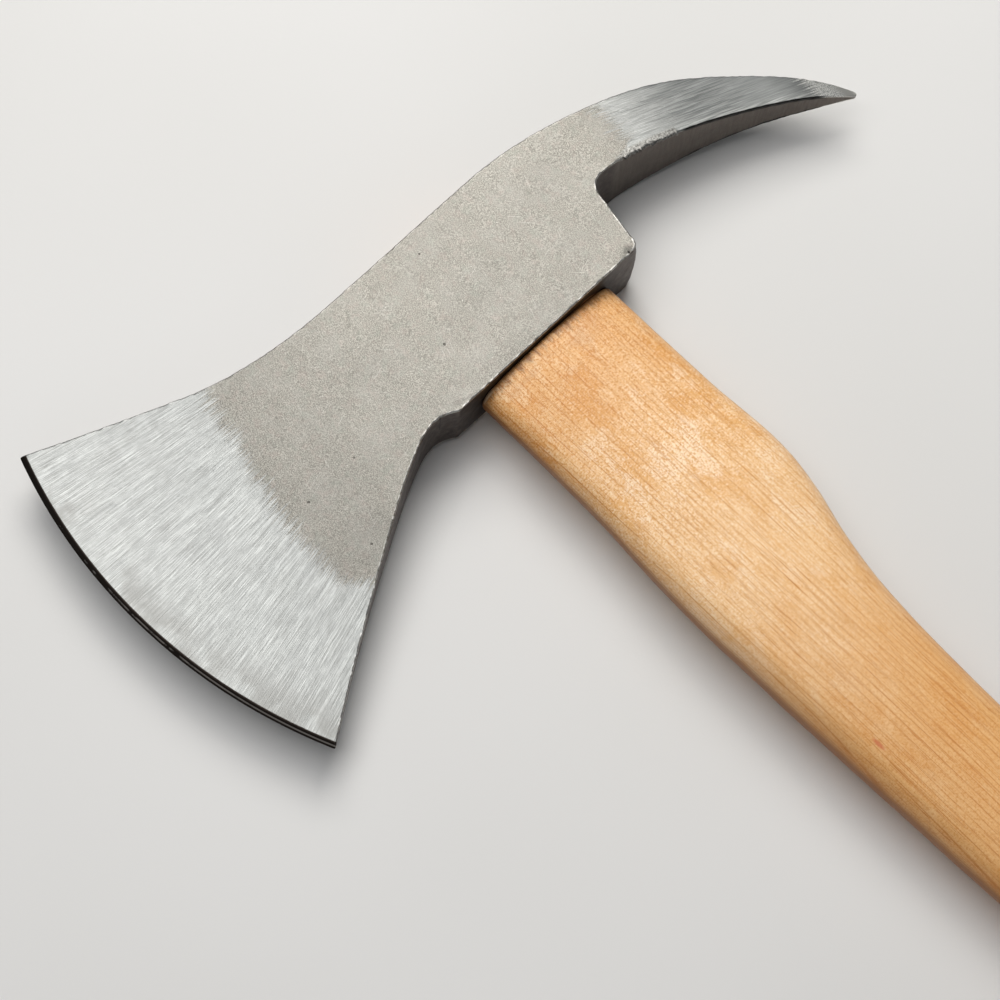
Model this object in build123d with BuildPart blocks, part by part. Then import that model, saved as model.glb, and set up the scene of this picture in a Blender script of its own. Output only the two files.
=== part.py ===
from build123d import *

import os
from math import atan2, cos, hypot, radians, sin, tan

# Forged pick hatchet: a flared bit and a curved spike on one head, hung on a wooden handle.
#
# Frame: the hatchet lies on one cheek. +X runs from the head along the handle, +Y points to the
# spike, -Y to the cutting edge, and +Z is up. The origin is on the lower cheek, under the middle
# of the eye. The tool is symmetric about the plane z = mid_z.

# ---- Head: outline seen square to the cheek ------------------------------------------------
head_height = 47.6  # along the handle, at the eye
head_top = -head_height / 2
head_bottom = head_height / 2
toe = (-52.3, -127.2)  # top end of the cutting edge
heel = (66.8, -121.2)  # bottom end of the cutting edge
edge_apex = (7.2, -135.4)
flare_start = (-33.2, -84.8)  # the top of the bit runs straight from the toe to here
neck_y = -36.0  # where the top has curved level with the eye
brow_y = 16.0  # where the top starts to curve down into the spike
spike_top = [(-17.4, 55.4), (-8.8, 80.0), (6.5, 101.8), (29.8, 122.8)]
spike_point = (31.05, 122.45)
spike_under = [(30.8, 121.2), (20.7, 105.4), (12.9, 89.6), (6.4, 71.8), (1.4, 51.5)]
spike_root = (0.4, 40.7)  # corner between the spike and the pick-side lug
spike_root_radius = 5.0
pick_lug = (head_bottom, 36.4)
lug_corner_radius = 1.5
bit_lug = (head_bottom, -33.6)
beard_hollow = [(21.3, -40.4), (23.3, -48.4)]
beard_straight = (33.9, -68.7)
beard_middle = (50.2, -95.8)

# ---- Head: thickness -----------------------------------------------------------------------
cheek_half = 11.75  # half thickness of the head at the middle of the eye
cheek_slope = 2.1  # degrees, each flat cheek against the middle plane
cheek_start_y = -36.0  # in front of this the cheeks close faster, down to the bit
neck_halves = [(-61.0, 8.55), (-87.0, 5.95)]
neck_end_slope = 0.075
front_half = 2.6  # at the front of the profile, which the ground face cuts off
cheek_end_y = 36.0  # the flat cheeks end here and the spike starts to taper
spike_halves = [(59.0, 12.2), (82.0, 8.5), (99.0, 5.8), (114.0, 3.3), (122.6, 0.6)]
spike_end_slope = 0.36
mid_z = cheek_half
edge_half = 0.2  # half thickness left at the cutting edge
bevel_depth = 1.5  # sharpened band along the edge
bevel_half = 0.95
grind_depth = 50.0  # ground face of the bit, from the edge
grind_half = 5.7
blend_depth = 80.0  # behind this the ground face has risen clear of the cheeks
blend_half = 11.2
lug_crown = 1.4  # bulge of the pick-side lug at the middle plane
reach = 160.0  # more than the head measures from the origin
clear_half = 30.0  # more than the head's half thickness
clear_run = 40.0  # behind the blend, the grind rises clear of the cheeks over this length

# ---- Eye and tenon -------------------------------------------------------------------------
eye_length = 45.0
eye_back_width = 16.0
eye_front_width = 12.5  # the eye narrows towards the bit
eye_flare = 1.2  # extra at the top, where the wedges spread the tenon
eye_waist = -0.4  # change at the middle of the eye
eye_center_y = 0.5
tenon_proud = 1.2
tenon_top = head_top - tenon_proud

# ---- Handle --------------------------------------------------------------------------------
handle_end = 352.0
shoulder_radius = 1.2
butt_radius = 6.0

# Stations: x, edge on the bit side, edge on the spike side, thickness, radius of the sides
handle_stations = [
    (head_bottom, -25.0, 25.5, 17.8, 6.4),
    (66.5, -25.3, 25.9, 19.8, 7.6),
    (89.5, -26.6, 26.9, 21.0, 8.3),
    (105.5, -27.3, 24.7, 21.8, 8.8),
    (121.5, -27.3, 20.2, 22.6, 9.4),
    (139.5, -26.9, 17.0, 23.2, 9.8),
    (168.5, -26.1, 15.3, 23.6, 10.0),
    (225.0, -24.0, 14.4, 23.4, 10.0),
    (278.0, -21.8, 12.4, 22.4, 9.6),
    (320.0, -25.4, 14.0, 22.6, 9.7),
    (handle_end, -29.4, 17.0, 23.0, 9.8),
]
section_spacing = 11.0

# ---- Wedges --------------------------------------------------------------------------------
kerf_depth = 34.0
kerf_mouth = 4.0
kerf_root = 1.2
wedge_depth = 27.0
steel_depth = 17.0
steel_width = 11.0
steel_thickness = 2.6
steel_tip = 0.5
steel_spacing = 19.0


def cheek_half_at(y):
    """Half thickness between the flat cheeks."""
    return cheek_half + y * tan(radians(cheek_slope))


def circle_through(a, b, c):
    """Centre and radius of the circle through three points."""
    d = 2 * (a[0] * (b[1] - c[1]) + b[0] * (c[1] - a[1]) + c[0] * (a[1] - b[1]))
    sa, sb, sc = (p[0] ** 2 + p[1] ** 2 for p in (a, b, c))
    x = (sa * (b[1] - c[1]) + sb * (c[1] - a[1]) + sc * (a[1] - b[1])) / d
    y = (sa * (c[0] - b[0]) + sb * (a[0] - c[0]) + sc * (b[0] - a[0])) / d
    return (x, y), hypot(a[0] - x, a[1] - y)


def handle_at(x):
    """Handle sizes at x, on a smooth curve through the stations."""
    last = len(handle_stations) - 1
    i = max(k for k in range(last) if handle_stations[k][0] <= x)
    before, a, b, after = (
        handle_stations[min(max(k, 0), last)] for k in (i - 1, i, i + 1, i + 2)
    )
    span = b[0] - a[0]
    t = (x - a[0]) / span
    sizes = []
    for k in range(1, len(a)):
        slope_a = (b[k] - before[k]) / (b[0] - before[0])
        slope_b = (after[k] - a[k]) / (after[0] - a[0])
        rise = b[k] - a[k]
        sizes.append(
            a[k]
            + rise * t**2 * (3 - 2 * t)
            + span * slope_a * t * (1 - t) ** 2
            - span * slope_b * t**2 * (1 - t)
        )
    return sizes


# ---- Head ----------------------------------------------------------------------------------
edge_center, edge_radius = circle_through(toe, edge_apex, heel)
top_at_neck = (head_top, neck_y)
top_at_brow = (head_top, brow_y)
flare_direction = (flare_start[0] - toe[0], flare_start[1] - toe[1])

# Eye: an egg shape, tightest at its waist and flared at the top
with BuildPart() as eye:
    for x, extra in (
        (tenon_top, eye_flare),
        ((head_top + head_bottom) / 2, eye_waist),
        (head_bottom, 0.0),
    ):
        back = (eye_back_width + extra) / 2
        front = (eye_front_width + extra) / 2
        half_length = (eye_length + extra) / 2
        with BuildSketch(Plane.YZ.offset(x)):
            with Locations((eye_center_y + half_length - back, mid_z)):
                Circle(back)
            with Locations((eye_center_y - half_length + front, mid_z)):
                Circle(front)
            make_hull()
    loft()

with BuildPart() as head:
    # Plate with the outline of the head, thicker than any part of it
    with BuildSketch(Plane.XY.offset(mid_z)):
        with BuildLine():
            Line(toe, flare_start)
            Spline(flare_start, top_at_neck, tangents=(flare_direction, (0, 1)))
            Line(top_at_neck, top_at_brow)
            Spline(top_at_brow, *spike_top, tangents=((0, 1), (1, 0.55)))
            ThreePointArc(spike_top[-1], spike_point, spike_under[0])
            Spline(*spike_under)
            Line(spike_under[-1], spike_root)
            Line(spike_root, pick_lug)
            Line(pick_lug, bit_lug)
            Spline(bit_lug, *beard_hollow, beard_straight, tangents=((-0.55, -0.85), (0.5, -0.87)))
            ThreePointArc(beard_straight, beard_middle, heel)
            ThreePointArc(heel, edge_apex, toe)
        make_face()
        root_corner = vertices().sort_by_distance((*spike_root, mid_z))[0]
        fillet(root_corner, spike_root_radius)
    extrude(amount=clear_half, both=True)

    # Crowned end of the pick-side lug, fading out towards the root of the spike
    lug_length = head_bottom - spike_root[0]
    for fade, crown in ((0.0, lug_crown), (0.75, 0.1 * lug_crown)):
        x = head_bottom - fade * lug_length
        y = pick_lug[1] + fade * (spike_root[1] - pick_lug[1])
        half = cheek_half_at(y)
        with BuildSketch(Plane.YZ.offset(x)):
            with BuildLine():
                Line((y, mid_z - half), (y, mid_z + half))
                ThreePointArc((y, mid_z + half), (y + crown, mid_z), (y, mid_z - half))
            make_face()
    loft()
    lug_corner = edges().filter_by_position(Axis.X, head_bottom - 0.01, head_bottom + 0.01)
    fillet(lug_corner.sort_by(Axis.Y)[-1], lug_corner_radius)

    # Cheeks that close towards the bit, and the taper of the spike
    with BuildSketch(Plane.YZ):
        with BuildLine():
            rise = tan(radians(cheek_slope))
            tip_y, tip_half = spike_halves[-1]
            for side in (1, -1):
                front = (-reach, mid_z + side * front_half)
                start = (cheek_start_y, mid_z + side * cheek_half_at(cheek_start_y))
                end = (cheek_end_y, mid_z + side * cheek_half_at(cheek_end_y))
                neck = [(y, mid_z + side * half) for y, half in neck_halves]
                spike = [(y, mid_z + side * half) for y, half in spike_halves]
                neck_tangents = ((-1, -side * rise), (-1, -side * neck_end_slope))
                Spline(start, *neck, tangents=neck_tangents)
                Line(neck[-1], front)
                Line(start, end)
                spike_tangents = ((1, side * rise), (1, -side * spike_end_slope))
                Spline(end, *spike, tangents=spike_tangents)
            Line((-reach, mid_z - front_half), (-reach, mid_z + front_half))
            Line((tip_y, mid_z - tip_half), (tip_y, mid_z + tip_half))
        make_face()
    extrude(amount=reach, both=True, mode=Mode.INTERSECT)

    # Grind of the bit, turned about the centre of the cutting edge
    with BuildSketch(
        Plane(origin=(*edge_center, mid_z), x_dir=(0, -1, 0), z_dir=(-1, 0, 0))
    ):
        inner = edge_radius - blend_depth
        clear_radius = inner - clear_run
        with BuildLine():
            for side in (1, -1):
                Line((0, side * clear_half), (clear_radius, side * clear_half))
                Line((clear_radius, side * clear_half), (inner, side * blend_half))
                Spline(
                    (inner, side * blend_half),
                    (edge_radius - grind_depth, side * grind_half),
                    (edge_radius - bevel_depth, side * bevel_half),
                )
                Line(
                    (edge_radius - bevel_depth, side * bevel_half),
                    (edge_radius, side * edge_half),
                )
            Line((edge_radius, edge_half), (edge_radius, -edge_half))
            Line((0, -clear_half), (0, clear_half))
        make_face()
    revolve(axis=Axis((*edge_center, 0), (0, 0, 1)), mode=Mode.INTERSECT)

    add(eye.part, mode=Mode.SUBTRACT)


# ---- Wedges --------------------------------------------------------------------------------
def wedge_section(depth, mouth, root):
    """Corners of a wedge in side view, from the top of the tenon inwards."""
    end = tenon_top + depth
    return [
        (tenon_top, -mouth / 2),
        (tenon_top, mouth / 2),
        (end, root / 2),
        (end, -root / 2),
    ]


# Steel wedges, driven across the wooden one
steel_wedges = []
for name, side in (("steel_wedge_front", -1), ("steel_wedge_back", 1)):
    with BuildPart() as steel_wedge:
        with BuildSketch(Plane.XY.offset(mid_z)):
            with BuildLine():
                center = eye_center_y + side * steel_spacing / 2
                corners = wedge_section(steel_depth, steel_thickness, steel_tip)
                Polyline([(x, center + v) for x, v in corners], close=True)
            make_face()
        extrude(amount=steel_width / 2, both=True)
    steel_wedge.part.label = name
    steel_wedges.append(steel_wedge.part)

# Wooden wedge, which spreads the tenon against the eye
wedge_mouth_at_depth = kerf_mouth + (kerf_root - kerf_mouth) * wedge_depth / kerf_depth
with BuildPart() as kerf_wedge:
    with BuildSketch(Plane.XZ):
        with BuildLine():
            corners = wedge_section(wedge_depth, kerf_mouth, wedge_mouth_at_depth)
            Polyline([(x, mid_z + v) for x, v in corners], close=True)
        make_face()
    extrude(amount=eye_length, both=True)
    add(eye.part, mode=Mode.INTERSECT)
    add(steel_wedges, mode=Mode.SUBTRACT)

# ---- Handle --------------------------------------------------------------------------------
with BuildPart() as handle:
    spans = round((handle_end - head_bottom) / section_spacing)
    for k in range(spans + 1):
        x = head_bottom + (handle_end - head_bottom) * k / spans
        bit_side, spike_side, thickness, side_radius = handle_at(x)
        # Oval of four arcs, each tangent to the next: two round sides, two crowned faces
        a = (spike_side - bit_side) / 2
        b = thickness / 2
        crown_radius = ((a - side_radius) ** 2 / (b - side_radius) + side_radius + b) / 2
        meet = atan2(crown_radius - b, a - side_radius)
        u = a - side_radius + side_radius * cos(meet)
        v = side_radius * sin(meet)
        middle = (spike_side + bit_side) / 2
        with BuildSketch(Plane.YZ.offset(x)):
            with BuildLine():
                low = (middle + u, mid_z - v)
                high = (middle + u, mid_z + v)
                far_high = (middle - u, mid_z + v)
                far_low = (middle - u, mid_z - v)
                ThreePointArc(low, (spike_side, mid_z), high)
                ThreePointArc(high, (middle, mid_z + b), far_high)
                ThreePointArc(far_high, (bit_side, mid_z), far_low)
                ThreePointArc(far_low, (middle, mid_z - b), low)
            make_face()
    loft()
    fillet(faces().sort_by(Axis.X)[0].edges(), shoulder_radius)
    fillet(faces().sort_by(Axis.X)[-1].edges(), butt_radius)
    # Tenon, sawn along its length and opened by the wedges
    add(eye.part)
    with BuildSketch(Plane.XZ):
        with BuildLine():
            corners = wedge_section(kerf_depth, kerf_mouth, kerf_root)
            Polyline([(x, mid_z + v) for x, v in corners], close=True)
        make_face()
    extrude(amount=eye_length, both=True, mode=Mode.SUBTRACT)
    add(steel_wedges, mode=Mode.SUBTRACT)

# ---- Parts ---------------------------------------------------------------------------------
head.part.label = "head"
kerf_wedge.part.label = "kerf_wedge"
handle.part.label = "handle"

os.makedirs("parts", exist_ok=True)
for part in (head.part, handle.part, kerf_wedge.part, *steel_wedges):
    export_step(part, f"parts/{part.label}.step")
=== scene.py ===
import math

import bmesh
import bpy
import numpy as np
from mathutils import Matrix, Vector, geometry, kdtree


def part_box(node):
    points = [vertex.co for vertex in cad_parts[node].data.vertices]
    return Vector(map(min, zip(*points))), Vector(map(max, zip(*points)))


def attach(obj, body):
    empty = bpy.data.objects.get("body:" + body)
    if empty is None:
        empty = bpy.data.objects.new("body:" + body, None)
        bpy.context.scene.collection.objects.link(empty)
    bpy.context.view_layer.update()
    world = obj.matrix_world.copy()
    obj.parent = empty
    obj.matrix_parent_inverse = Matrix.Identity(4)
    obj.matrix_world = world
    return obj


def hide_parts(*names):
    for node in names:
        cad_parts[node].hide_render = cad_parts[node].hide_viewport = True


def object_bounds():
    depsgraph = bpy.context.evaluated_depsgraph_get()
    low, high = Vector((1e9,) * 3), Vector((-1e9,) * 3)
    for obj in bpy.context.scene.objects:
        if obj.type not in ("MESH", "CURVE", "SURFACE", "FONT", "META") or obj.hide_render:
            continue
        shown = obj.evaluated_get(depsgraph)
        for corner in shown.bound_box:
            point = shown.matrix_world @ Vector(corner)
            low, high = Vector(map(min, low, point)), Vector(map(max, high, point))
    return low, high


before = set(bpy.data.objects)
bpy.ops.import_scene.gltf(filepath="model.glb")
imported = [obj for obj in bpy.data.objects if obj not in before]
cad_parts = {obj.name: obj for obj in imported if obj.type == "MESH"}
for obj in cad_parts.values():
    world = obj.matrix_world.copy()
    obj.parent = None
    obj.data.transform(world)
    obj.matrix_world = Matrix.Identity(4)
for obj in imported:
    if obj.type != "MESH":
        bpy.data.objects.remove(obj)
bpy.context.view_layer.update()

# Lengths are in millimetres until a mesh is made.
MM = 0.001

# ---- Head: the CAD model's sizes, but for a rounder lug corner and a finer spike tip ----
head_top, head_bottom = -23.8, 23.8
toe, edge_apex, heel = (-52.3, -127.2), (7.2, -135.4), (66.8, -121.2)
flare_start = (-33.2, -84.8)
neck, brow = (head_top, -36.0), (head_top, 16.0)
spike_top = [(-17.4, 55.4), (-8.8, 80.0), (6.5, 101.8), (29.8, 122.8)]
spike_point = (31.05, 122.45)
spike_under = [(30.8, 121.2), (20.7, 105.4), (12.9, 89.6), (6.4, 71.8), (1.4, 51.5)]
spike_root, spike_root_radius = (0.4, 40.7), 5.0
pick_lug, bit_lug, lug_corner_radius = (head_bottom, 36.4), (head_bottom, -33.6), 2.6
beard_hollow = [(21.3, -40.4), (23.3, -48.4)]
beard_straight, beard_middle = (33.9, -68.7), (50.2, -95.8)
mid_z = cheek_half = 11.75
cheek_rise = math.tan(math.radians(2.1))
cheek_start_y, cheek_end_y = -36.0, 36.0
neck_halves, neck_end_slope = [(-61.0, 8.55), (-87.0, 5.95)], 0.075
front_y, front_half = -160.0, 2.6
spike_halves, spike_end_slope = [(59.0, 12.2), (82.0, 8.5), (99.0, 5.8), (114.0, 3.3), (122.6, 0.35)], 0.36
edge_half, bevel_depth, bevel_half = 0.2, 1.5, 0.95
grind_depth, grind_half, blend_depth, blend_half = 50.0, 5.7, 80.0, 11.2
lug_crown = 1.4

# ---- Eye, tenon, handle and wedges: the same sizes as the CAD model ----
eye_length, eye_back_width, eye_front_width, eye_center_y = 45.0, 16.0, 12.5, 0.5
eye_flare, eye_waist = 1.2, -0.4
tenon_top = head_top - 1.2
handle_end, shoulder_radius, butt_radius = 352.0, 1.2, 6.0
handle_stations = [
    (head_bottom, -25.0, 25.5, 17.8, 6.4),
    (66.5, -25.3, 25.9, 19.8, 7.6),
    (89.5, -26.6, 26.9, 21.0, 8.3),
    (105.5, -27.3, 24.7, 21.8, 8.8),
    (121.5, -27.3, 20.2, 22.6, 9.4),
    (139.5, -26.9, 17.0, 23.2, 9.8),
    (168.5, -26.1, 15.3, 23.6, 10.0),
    (225.0, -24.0, 14.4, 23.4, 10.0),
    (278.0, -21.8, 12.4, 22.4, 9.6),
    (320.0, -25.4, 14.0, 22.6, 9.7),
    (handle_end, -29.4, 17.0, 23.0, 9.8),
]
kerf_depth, kerf_mouth, kerf_root = 34.0, 4.0, 1.2

# ---- Surface detail ----
rim_radius = 0.5  # the forging's edges are worn round
outline_step = 0.8
cheek_step = 1.0
around = 128  # points around the handle
ground_depth, ground_slant, ground_most, heel_step = 49.5, 0.23, 52.5, 5.0  # of the bit's ground face
forged_wave, short_wave, ground_wave = 0.07, 0.012, 0.022  # unevenness of the cheeks
fan_center = (-2.0, 68.0)  # the brush lines of the bit spread from here
fan_radius = 190.0  # their spacing is measured at this radius
brush_start_y = 58.5  # the spike is brushed from here to its tip
brush_turn = math.radians(18)  # and its brush lines lean by this
crease_soft = 0.3
burr_x, burr_y = (-4, 8), (49, 74)  # the burr's stretch of the spike's lower edge
root_fill_depth, root_fill_reach = 1.3, 8.0  # extra metal where the spike leaves the eye block
nicks = [(23.2, 33.4, 1.1, 0.7), (23.2, 31.0, 0.7, 0.3), (22.6, -32.2, 0.9, 0.5), (21.6, -38.6, 0.7, 0.5)]


# ---- Curves ----
def spline(points, start=None, end=None, count=160):
    """Points on a smooth curve through the given ones, with optional end directions."""
    p = np.array(points, float)
    t = np.r_[0, np.cumsum(np.linalg.norm(np.diff(p, axis=0), axis=1))]

    def end_slope(part, at, direction):
        fits = [np.polyfit(t[part], p[part, k], len(t[part]) - 1) for k in (0, 1)]
        slope = np.array([np.polyval(np.polyder(fit), at) for fit in fits])
        if direction is None:
            return slope
        return np.array(direction) / np.hypot(*direction) * np.hypot(*slope)

    step = np.diff(t)
    last = len(p) - 1
    rows, wanted = np.eye(last + 1), np.zeros((last + 1, 2))
    wanted[0] = end_slope(slice(0, 4), t[0], start)
    wanted[last] = end_slope(slice(-4, None), t[-1], end)
    for k in range(1, last):
        a, b = 1 / step[k - 1], 1 / step[k]
        rows[k, k - 1 : k + 2] = a, 2 * (a + b), b
        wanted[k] = 3 * ((p[k] - p[k - 1]) * a**2 + (p[k + 1] - p[k]) * b**2)
    slopes = np.linalg.solve(rows, wanted)
    u = np.linspace(t[0], t[-1], count)
    k = np.clip(np.searchsorted(t, u, "right") - 1, 0, last - 1)
    h = step[k][:, None]
    s = (u[:, None] - t[k][:, None]) / h
    from_start = p[k] * (1 + 2 * s) * (1 - s) ** 2 + slopes[k] * h * s * (1 - s) ** 2
    return from_start + p[k + 1] * s**2 * (3 - 2 * s) - slopes[k + 1] * h * s**2 * (1 - s)


def circle_through(a, b, c):
    d = 2 * (a[0] * (b[1] - c[1]) + b[0] * (c[1] - a[1]) + c[0] * (a[1] - b[1]))
    sa, sb, sc = (p[0] ** 2 + p[1] ** 2 for p in (a, b, c))
    x = (sa * (b[1] - c[1]) + sb * (c[1] - a[1]) + sc * (a[1] - b[1])) / d
    y = (sa * (c[0] - b[0]) + sb * (a[0] - c[0]) + sc * (b[0] - a[0])) / d
    return (x, y), math.hypot(a[0] - x, a[1] - y)


def arc(a, middle, b, count=160):
    """Points on the arc from a to b through middle."""
    (x, y), radius = circle_through(a, middle, b)
    start, through, end = (math.atan2(p[1] - y, p[0] - x) for p in (a, middle, b))
    full = 2 * math.pi
    sweep = (end - start) % full
    if (through - start) % full > sweep:
        sweep -= full
    turns = start + np.linspace(0, sweep, count)
    return np.stack([x + radius * np.cos(turns), y + radius * np.sin(turns)], 1)


def rounded_corner(a, corner, b, radius, count=30):
    """Arc of the radius that replaces the corner between a and b."""
    to_a, to_b = (np.subtract(p, corner) / np.linalg.norm(np.subtract(p, corner)) for p in (a, b))
    half = math.acos(float(to_a @ to_b)) / 2
    inward = (to_a + to_b) / np.linalg.norm(to_a + to_b)
    center = np.array(corner) + inward * radius / math.sin(half)
    reach = radius / math.tan(half)
    return arc(corner + to_a * reach, center - inward * radius, corner + to_b * reach, count)


def resample(line, positions=None, step=None):
    """The line at these arc lengths, or at an even step, and the arc lengths."""
    lengths = np.r_[0, np.cumsum(np.linalg.norm(np.diff(line, axis=0), axis=1))]
    if positions is None:
        positions = np.linspace(0, lengths[-1], max(int(lengths[-1] / step), 2), endpoint=False)
    return np.stack([np.interp(positions, lengths, line[:, k]) for k in (0, 1)], 1), positions


def smooth_loop(values, spread):
    """A closed run of samples, blurred by a Gaussian spread over that many of them."""
    waves_in = np.fft.rfftfreq(len(values))
    blur = np.exp(-2 * (math.pi * spread * waves_in) ** 2)
    return np.fft.irfft(np.fft.rfft(values, axis=0) * blur[:, None], len(values), axis=0)


def tree_of(points):
    """A tree for finding the nearest of these plan points."""
    tree = kdtree.KDTree(len(points))
    for k, (x, y) in enumerate(points):
        tree.insert((x, y, 0), k)
    tree.balance()
    return tree


def ease(value, low, high):
    """0 below low and 1 above high, smooth between; also the other way round."""
    t = np.clip((np.asarray(value, float) - low) / (high - low), 0, 1)
    return t * t * (3 - 2 * t)


def ripples(seed, count, shortest, longest):
    """A smooth random field of about unit height, from waves of these lengths."""
    draw = np.random.default_rng(seed)
    number = 2 * math.pi / np.exp(draw.uniform(math.log(shortest), math.log(longest), count))
    turn = draw.uniform(0, 2 * math.pi, count)
    shift = draw.uniform(0, 2 * math.pi, count)

    def field(x, y):
        total = 0
        for k in range(count):
            total = total + np.sin(number[k] * (x * math.cos(turn[k]) + y * math.sin(turn[k])) + shift[k])
        return total / math.sqrt(count / 2)

    return field


# ---- Shape of the head ----
edge_center, edge_radius = circle_through(toe, edge_apex, heel)
flare_direction = np.subtract(flare_start, toe)
top_line = spline([brow, *spike_top], (0, 1), (1, 0.55), 400)
raw_outline = np.concatenate(
    [
        [toe],
        spline([flare_start, neck], flare_direction, (0, 1)),
        top_line,
        arc(spike_top[-1], spike_point, spike_under[0], 30),
        spline(spike_under, count=300),
        rounded_corner(spike_under[-1], spike_root, pick_lug, spike_root_radius),
        rounded_corner(spike_root, pick_lug, bit_lug, lug_corner_radius),
        [bit_lug],
        spline([bit_lug, *beard_hollow, beard_straight], (-0.55, -0.85), (0.5, -0.87)),
        arc(beard_straight, beard_middle, heel),
        arc(heel, edge_apex, toe),
    ]
)
fine_step = 0.1
fine, fine_s = resample(raw_outline, step=fine_step)
# Corners are worn round, less so at the spike's tip
worn_round, kept_sharp = (smooth_loop(fine, spread / fine_step) for spread in (0.42, 0.14))
tip_share = ease(fine[:, 1], 115, 119)[:, None]
fine = worn_round * (1 - tip_share) + kept_sharp * tip_share
tangent = np.roll(fine, -1, axis=0) - np.roll(fine, 1, axis=0)
tangent /= np.linalg.norm(tangent, axis=1)[:, None]
turned = np.roll(tangent, -1, axis=0) - np.roll(tangent, 1, axis=0)
bend = np.linalg.norm(turned, axis=1) / (2 * fine_step)
area = 0.5 * np.sum(fine[:, 0] * np.roll(fine[:, 1], -1) - fine[:, 1] * np.roll(fine[:, 0], -1))
inward_all = np.stack([-tangent[:, 1], tangent[:, 0]], 1) * np.sign(area)

inner_radius = edge_radius - blend_depth
cheek_start = (cheek_start_y, cheek_half + cheek_start_y * cheek_rise)
cheek_end = (cheek_end_y, cheek_half + cheek_end_y * cheek_rise)
neck_profile = spline([cheek_start, *neck_halves], (-1, -cheek_rise), (-1, -neck_end_slope))
cheek_profile = np.concatenate(
    [
        [(front_y, front_half)],
        neck_profile[::-1],
        spline([cheek_end, *spike_halves], (1, cheek_rise), (1, -spike_end_slope), 400),
    ]
)
grind_profile = np.concatenate(
    [
        [(inner_radius - 40, 30)],
        spline(
            [
                (inner_radius, blend_half),
                (edge_radius - grind_depth, grind_half),
                (edge_radius - bevel_depth, bevel_half),
            ]
        ),
        [(edge_radius, edge_half)],
    ]
)


def from_center(x, y):
    """Distance from the center of the cutting edge's arc."""
    return np.hypot(x - edge_center[0], y - edge_center[1])


def half_at(x, y):
    """Half thickness of the head at a point of its outline or inside it."""
    cheek = np.interp(y, *cheek_profile.T)
    ground = np.interp(from_center(x, y), *grind_profile.T)
    # Where the two meet, the crease is softened
    return np.minimum(cheek, ground) - crease_soft * np.exp(-np.abs(cheek - ground) / crease_soft) / 2


def ground_at(x, y):
    """How far outside the ground faces a point is, in mm; negative on them."""
    back = edge_radius - from_center(x, y)
    limit = np.minimum(ground_depth - ground_slant * x, ground_most) + heel_step * ease(x, 36, 42)
    on_spike = brush_start_y - 7 * ease(x, -2, 2) - y
    return np.minimum(back - limit, on_spike)


waves_by_side = {
    1: (ripples(11, 16, 18, 60), ripples(12, 14, 5, 12)),
    -1: (ripples(21, 16, 18, 60), ripples(22, 14, 5, 12)),
}


def fan_at(x, y):
    """Distance along and across the brush lines of the bit."""
    dx, dy = x - fan_center[0], fan_center[1] - y
    return np.hypot(dx, dy), np.arctan2(dx, dy) * fan_radius


def cheek_z(x, y, side):
    """Height of a cheek above the middle plane, with the unevenness that forging and grinding leave."""
    half = half_at(x, y)
    long_waves, short_waves = waves_by_side[side]
    blasted = ease(ground_at(x, y), -3, 5)
    along, across = fan_at(x, y)
    on_bit = ease(y, 20, 0)
    uneven = forged_wave * long_waves(x, y) * blasted + short_wave * short_waves(x, y) * blasted
    uneven = uneven + ground_wave * on_bit * (1 - blasted) * short_waves(along / 9, across)
    if side > 0:
        for nx, ny, size, depth in nicks:
            uneven = uneven - depth * np.exp(-(((x - nx) ** 2 + (y - ny) ** 2) / (0.5 * size**2)))
    return half + uneven * ease(half, 0.4, 3)


# ---- Meshes ----
def make_piece(name, vertices, faces, node, slot):
    mesh = bpy.data.meshes.new(name)
    mesh.from_pydata((np.asarray(vertices) * MM).tolist(), [], faces)
    work = bmesh.new()
    work.from_mesh(mesh)
    bmesh.ops.recalc_face_normals(work, faces=work.faces)
    work.to_mesh(mesh)
    work.free()
    piece = bpy.data.objects.new(name, mesh)
    bpy.context.scene.collection.objects.link(piece)
    if node:
        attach(piece, "root")
        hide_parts(node)
    return piece


def ring_faces(rings, size):
    """Quads between closed rings of the same size, given by their first vertices."""
    faces = []
    for a, b in zip(rings, rings[1:]):
        for k in range(size):
            n = (k + 1) % size
            faces.append((a + k, a + n, b + n, b + k))
    return faces


def cut_away(piece, cutters):
    """Subtracts closed meshes from the piece and removes them."""
    for cutter in cutters:
        modifier = piece.modifiers.new("cut", "BOOLEAN")
        modifier.operation = "DIFFERENCE"
        modifier.solver = "MANIFOLD"
        modifier.object = cutter
    bpy.context.view_layer.update()
    graph = bpy.context.evaluated_depsgraph_get()
    cut = bpy.data.meshes.new_from_object(piece.evaluated_get(graph))
    piece.modifiers.clear()
    old = piece.data
    piece.data = cut
    bpy.data.meshes.remove(old)
    for cutter in cutters:
        bpy.data.objects.remove(cutter)


def shade(piece, angle=40):
    """Smooth shading that keeps creases sharper than the angle."""
    piece.data.polygons.foreach_set("use_smooth", [True] * len(piece.data.polygons))
    work = bmesh.new()
    work.from_mesh(piece.data)
    for edge in work.edges:
        edge.smooth = len(edge.link_faces) == 2 and edge.calc_face_angle(0) < math.radians(angle)
    work.to_mesh(piece.data)
    work.free()


def positions(piece):
    co = np.zeros(len(piece.data.vertices) * 3)
    piece.data.vertices.foreach_get("co", co)
    return co.reshape(-1, 3) / MM


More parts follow.
